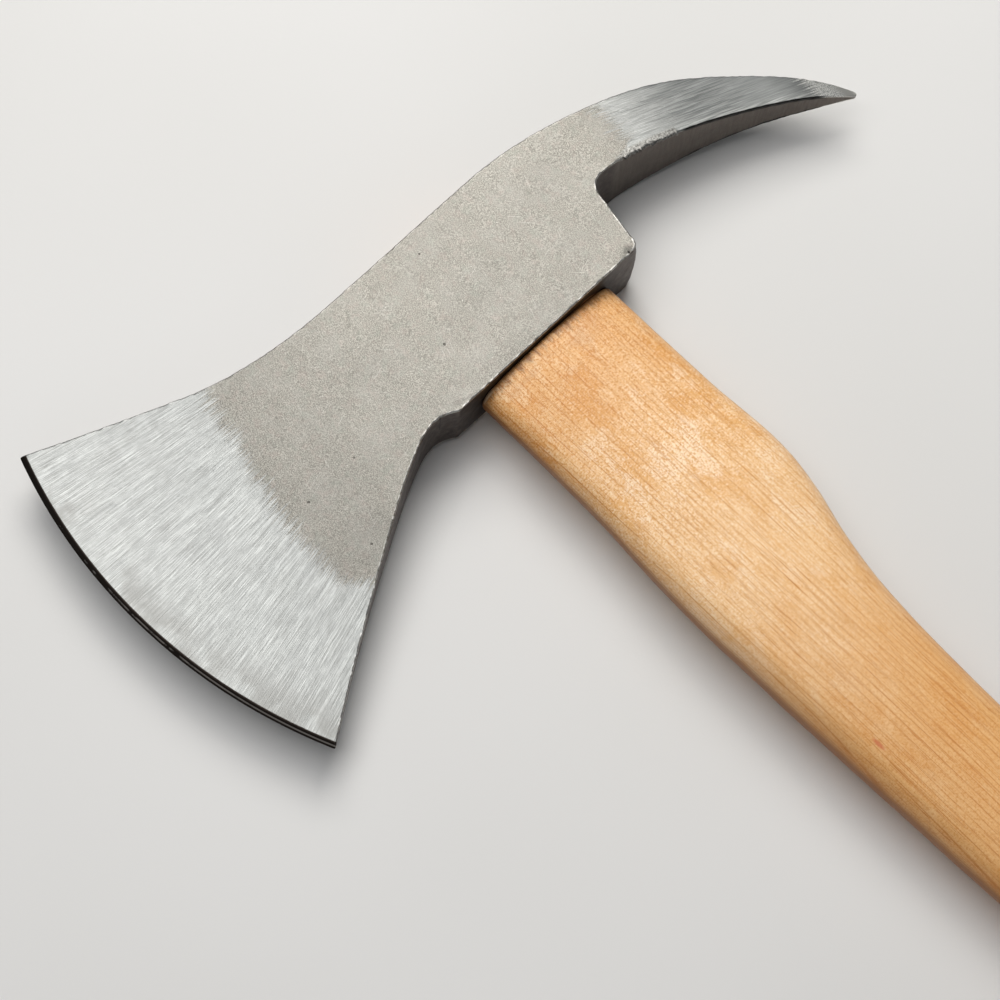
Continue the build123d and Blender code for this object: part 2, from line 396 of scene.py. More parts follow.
def egg(x, grow=0.0, count=around):
    """Outline of the eye at x: y, z pairs, evenly spaced."""
    at = np.array([tenon_top, 0.0, head_bottom])
    extra = np.polyval(np.polyfit(at, [eye_flare, eye_waist, 0.0], 2), x) + 2 * grow
    back, front = (eye_back_width + extra) / 2, (eye_front_width + extra) / 2
    reach = (eye_length + extra) / 2
    back_y, front_y = eye_center_y + reach - back, eye_center_y - reach + front
    lean = math.asin((back - front) / (back_y - front_y))
    turn_back = np.linspace(0, math.pi / 2 + lean, 60)
    turn_front = np.linspace(math.pi / 2 + lean, math.pi, 60)
    upper = np.concatenate(
        [
            np.stack([back_y + back * np.cos(turn_back), back * np.sin(turn_back)], 1),
            np.stack([front_y + front * np.cos(turn_front), front * np.sin(turn_front)], 1),
        ]
    )
    lower = upper[-2:0:-1] * (1, -1)
    loop = np.concatenate([upper, lower, upper[:1]])
    length = np.linalg.norm(np.diff(loop, axis=0), axis=1).sum()
    even, _ = resample(loop, positions=np.linspace(0, length, count, endpoint=False))
    return even + (0, mid_z)


def tube(rings):
    """Vertices and faces of a closed tube through rings of (x, loop)."""
    size = len(rings[0][1])
    vertices = np.concatenate([np.column_stack([np.full(size, x), loop]) for x, loop in rings])
    faces = ring_faces([k * size for k in range(len(rings))], size)
    last = (len(rings) - 1) * size
    faces += [tuple(range(size)), tuple(range(last, last + size))[::-1]]
    return vertices, faces


# ---- Head mesh ----
# The outline is sampled closer where it bends and where the spike has its burr.
in_burr_x, in_burr_y = ((v > low) & (v < high) for v, (low, high) in zip(fine.T, (burr_x, burr_y)))
burr_zone = in_burr_x & in_burr_y
density = 1 / outline_step + 3 * smooth_loop(bend[:, None], 3)[:, 0] + 2.2 * burr_zone
heap = np.cumsum(density) * fine_step
count = int(heap[-1])
at_fine = np.interp(np.arange(count) * heap[-1] / count, heap, fine_s)
outline = np.stack([np.interp(at_fine, fine_s, fine[:, k]) for k in (0, 1)], 1)
inward = np.stack([np.interp(at_fine, fine_s, inward_all[:, k]) for k in (0, 1)], 1)
inward /= np.linalg.norm(inward, axis=1)[:, None]
outline_half = half_at(*outline.T)
wear = ripples(5, 10, 2, 9)(at_fine, 0 * at_fine)
rim = np.minimum(rim_radius * (1 + 0.28 * wear), 0.5 * outline_half)
rim *= 1 - 0.7 * ease(outline[:, 1], 112, 120)

burr_rise = ease(outline[:, 1], 50, 54) * (1 - ease(outline[:, 1], 70.6, 71.4))
burr_rise *= (outline[:, 0] > burr_x[0]) & (outline[:, 0] < burr_x[1])
crumbs = ripples(8, 18, 0.7, 3.2)(at_fine, 0 * at_fine)
burr = burr_rise * np.clip(0.30 + 0.22 * crumbs, 0, 0.9)

wall_rows = np.array([0.985, 0.95, 0.86, 0.72, 0.57, 0.42, 0.28, 0.14, 0.0])
wall_rows = np.concatenate([wall_rows, -wall_rows[-2::-1]])
ring_turns = np.radians([90, 67.5, 45, 22.5, 0])
forged = ripples(31, 18, 4, 22)
root_s = fine_s[np.argmin(np.hypot(*(fine - spike_root).T))]
root_fill = root_fill_depth * np.exp(-(((at_fine - root_s) / root_fill_reach) ** 2))

rows = []  # each: plan position, height above the middle plane


def rim_row(turn, side, hold=0.0):
    """One row of the rounded rim of a cheek: its plan points and their heights."""
    depth = rim * (1 - math.cos(turn)) + hold * rim
    plan = outline + inward * depth[:, None]
    z = cheek_z(*plan.T, side) - rim * (1 - math.sin(turn))
    if side > 0:
        plan = plan - inward * (burr * math.cos(turn * 0.9))[:, None]
    else:
        plan = plan - inward * root_fill[:, None]
    return plan, side * z


rows.append(rim_row(math.pi / 2, 1, hold=0.5))
rows += [rim_row(turn, 1) for turn in ring_turns]
top_row, bottom_row = rows[-1], rim_row(0, -1)
for share in wall_rows:
    weight = (1 + share) / 2
    z = top_row[1] * weight + bottom_row[1] * (1 - weight)
    below = np.maximum(top_row[1] - z, 0)
    push = burr * np.exp(-below / 0.7) + 0.05 * forged(at_fine, z) * ease(outline_half, 1, 5)
    push = push + root_fill * ease(weight, 1, 0)
    rows.append((outline - inward * push[:, None], z))
rows += [rim_row(turn, -1) for turn in ring_turns[::-1]]
rows.append(rim_row(math.pi / 2, -1, hold=0.5))

head_vertices = np.concatenate([np.column_stack([plan, z]) for plan, z in rows])
head_faces = ring_faces([k * count for k in range(len(rows))], count)

# Points inside the cheeks: an even grid, and lines along the sharpened band
inner_ring = rows[0][0]
edge_turn_low, edge_turn_high = (
    math.atan2(p[0] - edge_center[0], edge_center[1] - p[1]) for p in (toe, heel)
)
bevel_lines = []
for depth in (0.8, 1.15, bevel_depth, 1.9, 2.6):
    radius = edge_radius - depth
    turns = np.linspace(edge_turn_low, edge_turn_high, int(120 / outline_step))
    bevel_lines.append(np.stack([np.sin(turns), -np.cos(turns)], 1) * radius + edge_center)
grid_x = np.arange(-60, 75, cheek_step)
grid_y = np.arange(-140, 130, cheek_step * math.sqrt(3) / 2)
grid = np.array([(x + cheek_step / 2 * (k % 2), y) for k, y in enumerate(grid_y) for x in grid_x])
grid = grid[edge_radius - from_center(*grid.T) > 3.1]
inside_points = np.concatenate([grid, *bevel_lines])


def inside(points, loop):
    """Which points are inside the closed loop."""
    result = np.zeros(len(points), bool)
    ends = np.roll(loop, -1, axis=0)
    for (ax, ay), (bx, by) in zip(loop, ends):
        crosses = (ay > points[:, 1]) != (by > points[:, 1])
        if ay != by:
            crosses &= points[:, 0] < ax + (points[:, 1] - ay) * (bx - ax) / (by - ay)
        result ^= crosses
    return result


inside_points = inside_points[inside(inside_points, inner_ring)]
tree = tree_of(inner_ring)
room = np.array([tree.find((x, y, 0))[2] for x, y in inside_points])
inside_points = inside_points[room > np.where(edge_radius - from_center(*inside_points.T) < 3, 0.18, 0.5)]
plan_points = np.concatenate([inner_ring, inside_points])
ring_edges = [(k, (k + 1) % count) for k in range(count)]
cdt = geometry.delaunay_2d_cdt([Vector(p) for p in plan_points], ring_edges, [], 1, 1e-5)
cdt_plan = np.array([tuple(v) for v in cdt[0]])
for side, ring_start in ((1, 0), (-1, (len(rows) - 1) * count)):
    index, extra = [], []
    for k, origins in enumerate(cdt[3]):
        ring_origin = [o for o in origins if o < count]
        if ring_origin:
            index.append(ring_start + ring_origin[0])
        else:
            index.append(len(head_vertices) + len(extra))
            extra.append(k)
    z = side * cheek_z(*cdt_plan[extra].T, side)
    head_vertices = np.concatenate([head_vertices, np.column_stack([cdt_plan[extra], z])])
    head_faces += [tuple(index[v] for v in face) for face in cdt[2]]

# Crowned end of the pick-side lug
x, y, z = head_vertices.T
crown_fade = ease(x, spike_root[0] + 2, head_bottom) * ease(y, 28, 35.2) * ease(y, 50, 44)
crown = lug_crown * crown_fade * np.clip(1 - (z / (cheek_half + cheek_end_y * cheek_rise)) ** 2, 0, 1)
head_vertices[:, 1] += crown
head_vertices[:, 2] += mid_z

head = make_piece("hatchet_head", head_vertices, head_faces, "head", "forged_steel")
eye_xs = np.linspace(tenon_top - 3, head_bottom + 3, 16)
eye_cutter = make_piece("eye_cutter", *tube([(x, egg(x, 0.02, 120)) for x in eye_xs]), None, None)
cut_away(head, [eye_cutter])

# Numbers for the steel's shader
co = positions(head)
plan_tree = tree_of(fine)
near = [plan_tree.find((x, y, 0)) for x, y, _ in co]
rim_distance = np.array([hit[2] for hit in near])
rim_s = fine_s[[hit[1] for hit in near]]
half = half_at(co[:, 0], co[:, 1])
deep = half - np.abs(co[:, 2] - mid_z)
ground = ground_at(co[:, 0], co[:, 1])
back = edge_radius - from_center(co[:, 0], co[:, 1])
on_spike = ease(co[:, 1], 20, 40)
fan_along, fan_across = fan_at(co[:, 0], co[:, 1])
top_tree = tree_of(top_line)
from_top = np.array([top_tree.find((x, y, 0))[2] for x, y, _ in co])
spike_along = co[:, 0] * math.sin(brush_turn) + co[:, 1] * math.cos(brush_turn)
spike_across = co[:, 0] * math.cos(brush_turn) - co[:, 1] * math.sin(brush_turn)
in_eye = (rim_distance > 1.2) & (deep > 1.5)
nick_depth = sum(
    np.exp(-((co[:, 0] - nx) ** 2 + (co[:, 1] - ny) ** 2) / (0.16 * size**2)) for nx, ny, size, _ in nicks
)
tip_s, end_s = (
    fine_s[np.argmin(np.hypot(*(fine - point).T))] for point in (spike_under[0], spike_under[-1])
)
under = ease(rim_s, tip_s, tip_s + 3) * ease(rim_s, end_s + 3, end_s)
burr_band = np.interp(rim_s, at_fine, burr_rise) * ease(rim_distance, 3.4, 0.6)
for name, values in (
    ("lay_along", np.where(on_spike > 0.5, spike_along, fan_along)),
    ("lay_across", np.where(on_spike > 0.5, spike_across, fan_across)),
    ("ground", ground),
    ("back", np.clip(back, 0, 100)),
    ("on_spike", on_spike),
    ("rim", np.clip(rim_distance, 0, 15)),
    ("deep", np.where(in_eye, 9, np.clip(deep, 0, 12))),
    ("run", rim_s),
    ("from_top", from_top),
    ("nick", nick_depth * (co[:, 2] > mid_z)),
    ("under", under),
    ("burr", burr_band * (co[:, 2] > mid_z)),
):
    layer = head.data.attributes.new(name, "FLOAT", "POINT")
    layer.data.foreach_set("value", np.asarray(values, np.float32))
shade(head, 50)


# ---- Handle mesh ----
def handle_at(x):
    """Handle sizes at x, on a smooth curve through the stations."""
    last = len(handle_stations) - 1
    i = max(k for k in range(last) if handle_stations[k][0] <= x)
    before, a, b, after = (handle_stations[min(max(k, 0), last)] for k in (i - 1, i, i + 1, i + 2))
    span = b[0] - a[0]
    t = (x - a[0]) / span
    sizes = []
    for k in range(1, len(a)):
        slope_a = (b[k] - before[k]) / (b[0] - before[0])
        slope_b = (after[k] - a[k]) / (after[0] - a[0])
        sizes.append(
            a[k]
            + (b[k] - a[k]) * t**2 * (3 - 2 * t)
            + span * slope_a * t * (1 - t) ** 2
            - span * slope_b * t**2 * (1 - t)
        )
    return sizes


def oval(x, inset=0.0, count=around):
    """Section of the handle at x, from the middle of its spike side, evenly spaced."""
    bit_side, spike_side, thickness, side_radius = handle_at(x)
    a, b = (spike_side - bit_side) / 2, thickness / 2
    crown_radius = ((a - side_radius) ** 2 / (b - side_radius) + side_radius + b) / 2
    meet = math.atan2(crown_radius - b, a - side_radius)
    side_turns = np.linspace(0, meet, 30)
    crown_turns = np.linspace(meet, math.pi / 2, 60)
    r, c = side_radius - inset, crown_radius - inset
    side = np.stack([a - side_radius + r * np.cos(side_turns), r * np.sin(side_turns)], 1)
    crown = np.stack([c * np.cos(crown_turns), b - crown_radius + c * np.sin(crown_turns)], 1)
    quarter = np.concatenate([side, crown[1:]])
    upper = np.concatenate([quarter, quarter[-2::-1] * (-1, 1)])
    loop = np.concatenate([upper, upper[-2:0:-1] * (1, -1), upper[:1]])
    length = np.linalg.norm(np.diff(loop, axis=0), axis=1).sum()
    even, _ = resample(loop, positions=np.linspace(0, length, count, endpoint=False))
    return even + ((spike_side + bit_side) / 2, mid_z)


sanded = ripples(41, 14, 9, 40)
handle_rings = []
tenon_xs = np.linspace(tenon_top + 0.5, head_bottom, 24)
handle_rings.append((tenon_top, egg(tenon_top, -0.45)))
handle_rings.append((tenon_top + 0.15, egg(tenon_top, -0.15)))
handle_rings += [(x, egg(x)) for x in tenon_xs]
egg_edge = egg(head_bottom)
shoulder_edge = oval(head_bottom, shoulder_radius)
for share in (0.15, 0.5, 0.9, 1.0):
    handle_rings.append((head_bottom, egg_edge + (shoulder_edge - egg_edge) * share))
for turn in np.radians([22.5, 45, 67.5, 90]):
    x = head_bottom + shoulder_radius * (1 - math.cos(turn))
    handle_rings.append((x, oval(x, shoulder_radius * (1 - math.sin(turn)))))
grip_start, grip_end = head_bottom + shoulder_radius, handle_end - butt_radius
arc_share = np.linspace(0, 2 * math.pi, around, endpoint=False)
for x in np.linspace(grip_start + 0.6, grip_end, 190):
    loop = oval(x)
    center = loop.mean(0)
    fade = ease(x, grip_start, grip_start + 12)
    swell = 1 + 0.0015 * fade * sanded(x, 14 * np.cos(arc_share) + 9 * np.sin(arc_share))
    handle_rings.append((x, center + (loop - center) * swell[:, None]))
for turn in np.radians(np.linspace(0, 90, 13)[1:]):
    x = grip_end + butt_radius * math.sin(turn)
    handle_rings.append((min(x, handle_end), oval(min(x, handle_end), butt_radius * (1 - math.cos(turn)))))
butt = handle_rings[-1][1]
for share in (0.85, 0.6, 0.35, 0.12):
    handle_rings.append((handle_end, butt.mean(0) + (butt - butt.mean(0)) * share))
handle = make_piece("hatchet_handle", *tube(handle_rings), "handle", "hickory")


def prism(name, corners, low, high):
    """Closed prism from (x, z) corners, between two values of y."""
    size = len(corners)
    vertices = [(x, y, z) for y in (low, high) for x, z in corners]
    faces = [tuple(range(size))[::-1], tuple(range(size, 2 * size))]
    faces += [(k, (k + 1) % size, size + (k + 1) % size, size + k) for k in range(size)]
    return make_piece(name, vertices, faces, None, None)


slant = (kerf_mouth - kerf_root) / 2 / kerf_depth
over = 2.0  # the cutters stand out of the tenon's end by this
slot_spread, slot_tip_half = 1.12, 0.25  # of the cutters for the steel wedges
kerf_end = tenon_top + kerf_depth
kerf_corners = [
    (tenon_top - over, mid_z - kerf_mouth / 2 - slant * over),
    (kerf_end, mid_z - kerf_root / 2),
    (kerf_end, mid_z + kerf_root / 2),
    (tenon_top - over, mid_z + kerf_mouth / 2 + slant * over),
]
cutters = [prism("kerf_cutter", kerf_corners, -40, 40)]
for name in ("steel_wedge_front", "steel_wedge_back"):
    low, high = (np.array(corner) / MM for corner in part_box(name))
    y_mid, y_half = (low[1] + high[1]) / 2, (high[1] - low[1]) / 2
    outer, x_far, x_near = y_half * slot_spread, high[0], tenon_top - over
    loop = [
        (x_near, y_mid - outer),
        (x_far, y_mid - slot_tip_half),
        (x_far, y_mid + slot_tip_half),
        (x_near, y_mid + outer),
    ]
    vertices = [(x, y, z) for z in (low[2], high[2]) for x, y in loop]
    faces = [(3, 2, 1, 0), (4, 5, 6, 7)] + [(k, (k + 1) % 4, 4 + (k + 1) % 4, 4 + k) for k in range(4)]
    cutters.append(make_piece(name + "_cutter", vertices, faces, None, None))
cut_away(handle, cutters)
shade(handle, 50)


# ---- Materials ----
class Shader:
    """A material and short names for the nodes it is made of. Positions are in millimetres."""

    def __init__(self, name):
        self.material = bpy.data.materials.new(name)
        self.material.use_nodes = True
        self.tree = self.material.node_tree
        self.surface = self.tree.nodes["Principled BSDF"]
        where = self.node("ShaderNodeTexCoord").outputs["Object"]
        self.place = self.vector("SCALE", where, Scale=1000.0)

    def node(self, kind, settings=None, **sockets):
        made = self.tree.nodes.new(kind)
        for key, value in (settings or {}).items():
            setattr(made, key, value)
        for key, value in sockets.items():
            self.feed(made.inputs[key], value)
        return made

    def feed(self, socket, value):
        if isinstance(value, bpy.types.NodeSocket):
            self.tree.links.new(value, socket)
        else:
            socket.default_value = value

    def vector(self, operation, a, b=None, **sockets):
        made = self.node("ShaderNodeVectorMath", {"operation": operation}, **sockets)
        self.feed(made.inputs[0], a)
        if b is not None:
            self.feed(made.inputs[1], b)
        return made.outputs["Vector"]

    def math(self, operation, a, b=0.0):
        made = self.node("ShaderNodeMath", {"operation": operation})
        for socket, value in zip(made.inputs, (a, b)):
            self.feed(socket, value)
        return made.outputs[0]

    def add(self, a, b):
        return self.math("ADD", a, b)

    def times(self, a, b):
        return self.math("MULTIPLY", a, b)

    def ease(self, value, low, high, start=0.0, end=1.0):
        made = self.node("ShaderNodeMapRange", {"interpolation_type": "SMOOTHSTEP"})
        for socket, number in zip(made.inputs, (value, low, high, start, end)):
            self.feed(socket, number)
        return made.outputs["Result"]

    def mix(self, share, a, b, blend="MIX"):
        made = self.node("ShaderNodeMix", {"data_type": "RGBA", "blend_type": blend})
        self.feed(made.inputs["Factor"], share)
        for socket, value in zip((s for s in made.inputs if s.type == "RGBA"), (a, b)):
            self.feed(socket, (*value, 1) if isinstance(value, tuple) and len(value) == 3 else value)
        return next(s for s in made.outputs if s.type == "RGBA")

    def layers(self, color, *pairs):
        """Lays the colors over the first one in turn, each by its share."""
        for share, top in pairs:
            color = self.mix(share, color, top)
        return color

    def blend(self, share, a, b):
        made = self.node("ShaderNodeMix", {"data_type": "FLOAT"}, Factor=share)
        for socket, value in zip([s for s in made.inputs if s.type == "VALUE"][1:], (a, b)):
            self.feed(socket, value)
        return made.outputs["Result"]

    def number(self, name):
        return self.node("ShaderNodeAttribute", {"attribute_name": name}).outputs["Fac"]

    def join(self, x, y, z=0.0):
        return self.node("ShaderNodeCombineXYZ", X=x, Y=y, Z=z).outputs[0]

    def split(self, vector):
        return self.node("ShaderNodeSeparateXYZ", Vector=vector).outputs

    def noise(self, vector, scale, detail=2.0, roughness=0.5, stretch=None, shift=None):
        if shift:
            vector = self.vector("ADD", vector, shift)
        if stretch:
            vector = self.vector("MULTIPLY", vector, stretch)
        sockets = {"Vector": vector, "Scale": scale, "Detail": detail, "Roughness": roughness}
        return self.node("ShaderNodeTexNoise", **sockets).outputs["Fac"]

    def marks(self, vector, scale, stretch, size, share):
        """Scattered marks: 1 on them. size is against the cell, share is how many cells have one."""
        if stretch:
            vector = self.vector("MULTIPLY", vector, stretch)
        made = self.node("ShaderNodeTexVoronoi", Vector=vector, Scale=scale)
        distance, chance = made.outputs["Distance"], self.split(made.outputs["Color"])[0]
        return self.times(self.ease(distance, size, size * 0.5), self.math("LESS_THAN", chance, share))

    def bump(self, height, distance, strength):
        made = self.node("ShaderNodeBump", Height=height, Distance=distance * MM, Strength=strength)
        return made.outputs["Normal"]

    def finish(self, color, roughness, normal, **fixed):
        self.feed(self.surface.inputs["Base Color"], color)
        self.feed(self.surface.inputs["Roughness"], roughness)
        self.feed(self.surface.inputs["Normal"], normal)
        for key, value in fixed.items():
            self.surface.inputs[key.replace("_", " ")].default_value = value
        return self.material


def steel_material():
    s = Shader("forged steel")
    along, across = s.number("lay_along"), s.number("lay_across")
    lay = s.join(along, across)
    ground_mm, back, rim_mm, deep_mm, spike = map(s.number, ("ground", "back", "rim", "deep", "on_spike"))
    run, under, burr_share, nick, from_top = map(s.number, ("run", "under", "burr", "nick", "from_top"))
    x, y, z = s.split(s.place)
    # Blasted faces: fine grain, faint mottling, pits and a few scratches
    grain = s.noise(s.place, 3.4, 1.0, 0.5)
    mottle = s.noise(s.place, 0.10, 4.0, 0.62)
    tint = s.noise(s.place, 0.45, 3.0, 0.6)
    green = s.noise(s.place, 0.33, 3.0, 0.6, shift=(31.0, 71.0, 0.0))
    glints = s.marks(s.place, 0.9, None, 0.16, 0.10)
    pits = s.marks(s.place, 0.16, None, 0.075, 0.42)
    scratches = 0.0
    for turn, number in ((0.35, 5.0), (1.3, 17.0), (2.35, 29.0)):
        move = {"Rotation": (0, 0, turn), "Location": (number, number, 0)}
        turned = s.node("ShaderNodeMapping", Vector=s.place, **move)
        mark = s.marks(turned.outputs[0], 0.055, (1.0, 26.0, 1.0), 0.16, 0.22)
        scratches = s.math("MAXIMUM", scratches, mark)
    blasted = s.layers(
        s.mix(s.ease(grain, 0.30, 0.70), (0.198, 0.188, 0.165), (0.314, 0.300, 0.265)),
        (s.ease(mottle, 0.42, 0.66, 0.0, 0.40), (0.303, 0.293, 0.265)),
        (s.ease(tint, 0.50, 0.68, 0.0, 0.30), (0.300, 0.255, 0.228)),
        (s.ease(green, 0.52, 0.68, 0.0, 0.25), (0.243, 0.260, 0.224)),
        (s.times(glints, 0.45), (0.62, 0.60, 0.56)),
        (s.times(pits, 0.7), (0.06, 0.052, 0.045)),
        (s.times(scratches, 0.30), (0.55, 0.535, 0.50)),
    )
    # Ground bit: fine lines along the grind, brighter and darker passes of the wheel
    lines = s.noise(lay, 1.0, 2.0, 0.55, (0.070, 4.2, 1.0))
    finer = s.noise(lay, 1.0, 1.0, 0.5, (0.16, 5.6, 1.0), (40.0, 9.0, 0.0))
    passes = s.noise(lay, 1.0, 2.0, 0.5, (0.03, 0.22, 1.0))
    blotch = s.noise(s.place, 0.08, 3.0, 0.6)
    dark_cuts = s.ease(s.noise(lay, 1.0, 1.0, 0.5, (0.12, 4.6, 1.0), (7.0, 3.0, 0.0)), 0.60, 0.66)
    light_cuts = s.ease(s.noise(lay, 1.0, 1.0, 0.5, (0.12, 4.4, 1.0), (3.0, 8.0, 0.0)), 0.61, 0.67)
    near_edge = s.times(s.ease(back, 15.0, 2.0), s.ease(s.add(blotch, s.times(x, 0.0016)), 0.44, 0.62))
    ground = s.layers(
        s.mix(s.ease(lines, 0.38, 0.62), (0.253, 0.258, 0.248), (0.374, 0.380, 0.366)),
        (s.ease(finer, 0.40, 0.60, 0.0, 0.50), (0.239, 0.242, 0.232)),
        (s.ease(passes, 0.40, 0.62, 0.0, 0.30), (0.290, 0.296, 0.288)),
        (s.ease(tint, 0.46, 0.64, 0.0, 0.17), (0.450, 0.455, 0.440)),
        (s.times(dark_cuts, 0.45), (0.165, 0.162, 0.150)),
        (s.times(light_cuts, 0.45), (0.54, 0.545, 0.53)),
        (s.times(near_edge, 0.75), (0.205, 0.203, 0.191)),
    )
    # Brushed spike: cooler, and darker partly as painted shade, with the lines running straight across its
    # curve
    sweep = s.noise(lay, 1.0, 3.0, 0.6, (0.08, 1.9, 1.0))
    bands = s.noise(lay, 1.0, 2.0, 0.5, (0.03, 0.40, 1.0), (0.0, 50.0, 0.0))
    root = s.ease(s.add(y, s.times(s.add(bands, -0.5), 30.0)), 86.0, 62.0)
    upper = s.times(s.ease(from_top, 6.0, 0.5), s.ease(y, 70.0, 90.0))
    lower_light = s.times(s.ease(rim_mm, 2.6, 0.8), s.times(s.times(under, spike), s.ease(y, 66.0, 78.0)))
    tip = s.ease(s.add(y, s.times(s.add(sweep, -0.5), 12.0)), 110.5, 114.5)
    # Painted highlight: a near-white speckled facet just before the spike's tip
    painted_tip_highlight = s.mix(s.ease(grain, 0.36, 0.62), (0.420, 0.418, 0.390), (0.950, 0.945, 0.900))
    end_of_tip = s.ease(s.add(y, s.times(s.add(mottle, -0.5), 6.0)), 117.5, 121.0)
    # Brushed steel colour, darkened partly as painted shade
    brushed_and_shaded = s.layers(
        s.mix(s.ease(sweep, 0.36, 0.64), (0.104, 0.109, 0.107), (0.280, 0.288, 0.280)),
        (s.ease(lines, 0.40, 0.60, 0.0, 0.50), (0.105, 0.109, 0.106)),
        (s.ease(finer, 0.36, 0.64, 0.0, 0.30), (0.260, 0.268, 0.258)),
        (s.ease(bands, 0.50, 0.66, 0.0, 0.20), (0.080, 0.087, 0.088)),
        (s.times(dark_cuts, 0.50), (0.050, 0.051, 0.049)),
        (s.times(light_cuts, 0.50), (0.400, 0.408, 0.395)),
        (s.times(root, 0.60), ground),
        (s.ease(y, 84.0, 104.0, 0.0, 0.55), (0.208, 0.216, 0.211)),
        (s.times(upper, 0.22), (0.080, 0.086, 0.088)),
        (s.times(lower_light, s.ease(sweep, 0.40, 0.62, 0.10, 0.75)), (0.42, 0.425, 0.41)),
        (s.times(tip, 0.85), s.mix(end_of_tip, painted_tip_highlight, (0.560, 0.550, 0.510))),
    )
    ground = s.mix(spike, ground, brushed_and_shaded)
    # The border between ground and blasted faces is ragged
    ragged = s.noise(lay, 1.0, 3.0, 0.65, (0.055, 3.6, 1.0))
    ragged_wide = s.noise(s.place, 0.12, 3.0, 0.55)
    wander = s.add(s.times(s.add(ragged, -0.5), 24.0), s.times(s.add(ragged_wide, -0.5), 5.0))
    is_ground = s.ease(s.add(ground_mm, wander), 1.0, -0.9)
    color = s.mix(is_ground, blasted, ground)
    # Walls of the forging: dark scale, made darker and warmer with painted shade and painted warm bounce
    # light, faintly lined under the spike, with painted near-black shade next to the handle
    scale = s.noise(s.place, 0.6, 4.0, 0.65)
    bare = s.times(s.ease(x, 5.0, -10.0), s.ease(mottle, 0.42, 0.60, 0.0, 0.60))
    wall_lines = s.noise(s.join(run, z), 1.0, 3.0, 0.6, (1.3, 0.09, 1.0))
    cut = s.mix(s.ease(wall_lines, 0.25, 0.75), (0.126, 0.104, 0.087), (0.172, 0.147, 0.127))
    cut = s.mix(s.ease(grain, 0.35, 0.65, 0.0, 0.4), cut, (0.085, 0.073, 0.063))
    at_bottom = s.ease(x, head_bottom - 1.0, head_bottom - 0.2)
    painted_shade_beside_handle = s.times(at_bottom, s.ease(s.math("ABSOLUTE", y), 31.0, 24.0))
    # Dark scale, made darker and warmer with painted shade and painted warm bounce light
    wall = s.layers(
        s.mix(s.ease(scale, 0.35, 0.68), (0.052, 0.040, 0.034), (0.106, 0.086, 0.074)),
        (bare, (0.125, 0.113, 0.105)),
        (under, cut),
        # Painted near-black shade where the bottom wall meets the handle
        (s.times(painted_shade_beside_handle, s.ease(scale, 0.30, 0.60, 0.95, 0.75)), (0.020, 0.015, 0.011)),
    )
    is_wall = s.ease(deep_mm, 0.30, 0.75)
    color = s.mix(is_wall, color, wall)
    # A broken black line along the spike's lower edge, just under its rim
    line_breaks = s.ease(s.noise(s.join(run, 0.0), 0.30, 2.0), 0.24, 0.32)
    black_edge_line = s.times(s.ease(rim_mm, 0.50, 0.36), s.ease(deep_mm, 1.25, 0.95))
    black_line_run = s.times(s.ease(y, 72.0, 74.0), s.ease(y, 115.0, 112.0))
    black_edge_line = s.times(black_edge_line, s.times(s.times(under, line_breaks), black_line_run))
    color = s.mix(s.times(black_edge_line, 0.95), color, (0.008, 0.007, 0.006))
    # Bright worn edges of the cheeks, more on the handle's side
    breaks = s.noise(s.place, 0.8, 3.0, 0.62)
    on_rim = s.times(s.ease(rim_mm, 0.76, 0.32), s.ease(deep_mm, 0.48, 0.18))
    side = s.blend(s.ease(x, -20.0, 10.0), 0.25, 0.75)
    worn = s.times(s.times(on_rim, s.ease(breaks, 0.42, 0.51)), s.times(s.ease(back, 3.0, 6.0), side))
    worn = s.times(worn, s.ease(y, 75.0, 60.0))
    color = s.mix(worn, color, (0.55, 0.54, 0.51))
    # Crumbled burr where the spike's grind ends, and nicks painted near-black as painted shade in their
    # dents
    crumbs = s.noise(s.join(run, rim_mm), 1.0, 4.0, 0.75, (1.5, 1.1, 1.0))
    on_burr = s.times(s.ease(burr_share, 0.25, 0.75), s.ease(deep_mm, 1.4, 0.7))
    rough_metal = s.mix(s.ease(crumbs, 0.40, 0.60), (0.10, 0.095, 0.086), (0.33, 0.322, 0.300))
    color = s.mix(s.times(on_burr, 0.80), color, rough_metal)
    # Painted shade in the nicks' dents
    color = s.mix(s.ease(nick, 0.30, 0.75), color, (0.020, 0.017, 0.015))
    # Sharpened band along the edge, painted near-black as a painted dark reflection, with a painted
    # highlight line where it is keenest
    is_band = s.ease(back, 1.85, 1.65)
    # Painted dark reflection on the sharpened band
    color = s.mix(is_band, color, (0.022, 0.015, 0.011))
    edge_highlight_line = s.times(s.ease(back, 0.90, 0.75), s.ease(back, 0.42, 0.55))
    painted_edge_highlight = s.times(edge_highlight_line, s.ease(s.add(s.noise(s.place, 0.30, 3.0), s.times(x, 0.004)), 0.44, 0.60))
    # Painted highlight line along the keenest part of the edge
    color = s.mix(s.times(painted_edge_highlight, 0.85), color, (0.42, 0.38, 0.34))

    roughness = s.blend(is_ground, s.ease(grain, 0.3, 0.7, 0.60, 0.50), s.ease(lines, 0.3, 0.7, 0.46, 0.37))
    roughness = s.blend(is_wall, roughness, 0.50)
    roughness = s.blend(s.math("MAXIMUM", is_band, worn), roughness, 0.34)
    relief_ground = s.add(s.times(lines, 0.9), s.times(finer, 0.5))
    relief = s.blend(is_ground, s.add(grain, s.times(pits, -1.6)), relief_ground)
    relief = s.blend(is_wall, relief, s.blend(under, s.times(scale, 1.2), s.times(wall_lines, 1.7)))
    relief = s.add(relief, s.times(on_burr, s.times(crumbs, 1.6)))
    normal = s.bump(relief, 0.08, 0.6)
    return s.finish(color, roughness, normal, Metallic=0.92, IOR=2.2)


